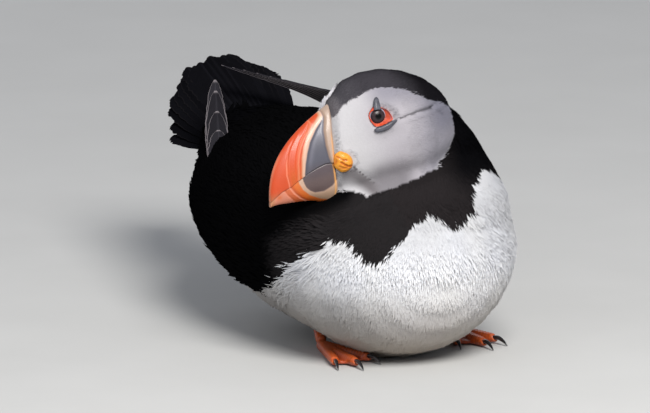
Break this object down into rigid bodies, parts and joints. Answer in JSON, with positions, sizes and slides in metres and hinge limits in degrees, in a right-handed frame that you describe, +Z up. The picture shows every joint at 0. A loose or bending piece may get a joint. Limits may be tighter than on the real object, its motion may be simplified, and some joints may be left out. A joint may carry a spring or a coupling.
{
  "type": "atlantic puffin model",
  "caption": "Life-size still model of an Atlantic puffin resting on its belly, its head turned to its right, wings folded and webbed feet forward.",
  "frame": {"origin": "on the floor, on the flat the belly rests on, under the middle of the breast", "axes": "the bird faces -Y, its left side is +X, +Z up; the head is turned to the bird's right, so the bill points along -X"},
  "size_m": [0.1159, 0.2488, 0.1213],
  "materials": {
    "plumage_black": "soft feathers, brownish black with a faint sheen",
    "plumage_white": "soft white feathers",
    "plumage_face": "short pale grey feathers with a dark cap",
    "flight_feather": "stiff blackish vanes with pale grey edges",
    "bill_horn": "smooth horn, orange-red with a blue-grey base and cream bands",
    "gape_skin": "folded yellow-orange skin",
    "eye": "wet dark brown iris and black pupil",
    "eye_rim": "bare orange-red skin",
    "eye_horn": "grey-blue horny plate",
    "leg_skin": "orange skin with small scutes",
    "claw_horn": "black horn"
  },
  "bodies": {
    "root": {"trunk": "plumage_white", "neck": "plumage_black", "head": "plumage_face", "wing_left": "plumage_black", "wing_right": "plumage_black", "primaries_left": "flight_feather", "primaries_right": "flight_feather", "tail": "flight_feather", "bill_upper": "bill_horn", "bill_lower": "bill_horn", "gape_rosette_left": "gape_skin", "gape_rosette_right": "gape_skin", "eye_left": "eye", "eye_right": "eye", "eye_ring_left": "eye_rim", "eye_ring_right": "eye_rim", "eye_horn_over_left": "eye_horn", "eye_horn_over_right": "eye_horn", "eye_horn_under_left": "eye_horn", "eye_horn_under_right": "eye_horn", "leg_left": "leg_skin", "leg_right": "leg_skin", "foot_left": "leg_skin", "foot_right": "leg_skin", "claw_left_1": "claw_horn", "claw_left_2": "claw_horn", "claw_left_3": "claw_horn", "claw_right_1": "claw_horn", "claw_right_2": "claw_horn", "claw_right_3": "claw_horn"}
  },
  "joints": []
}
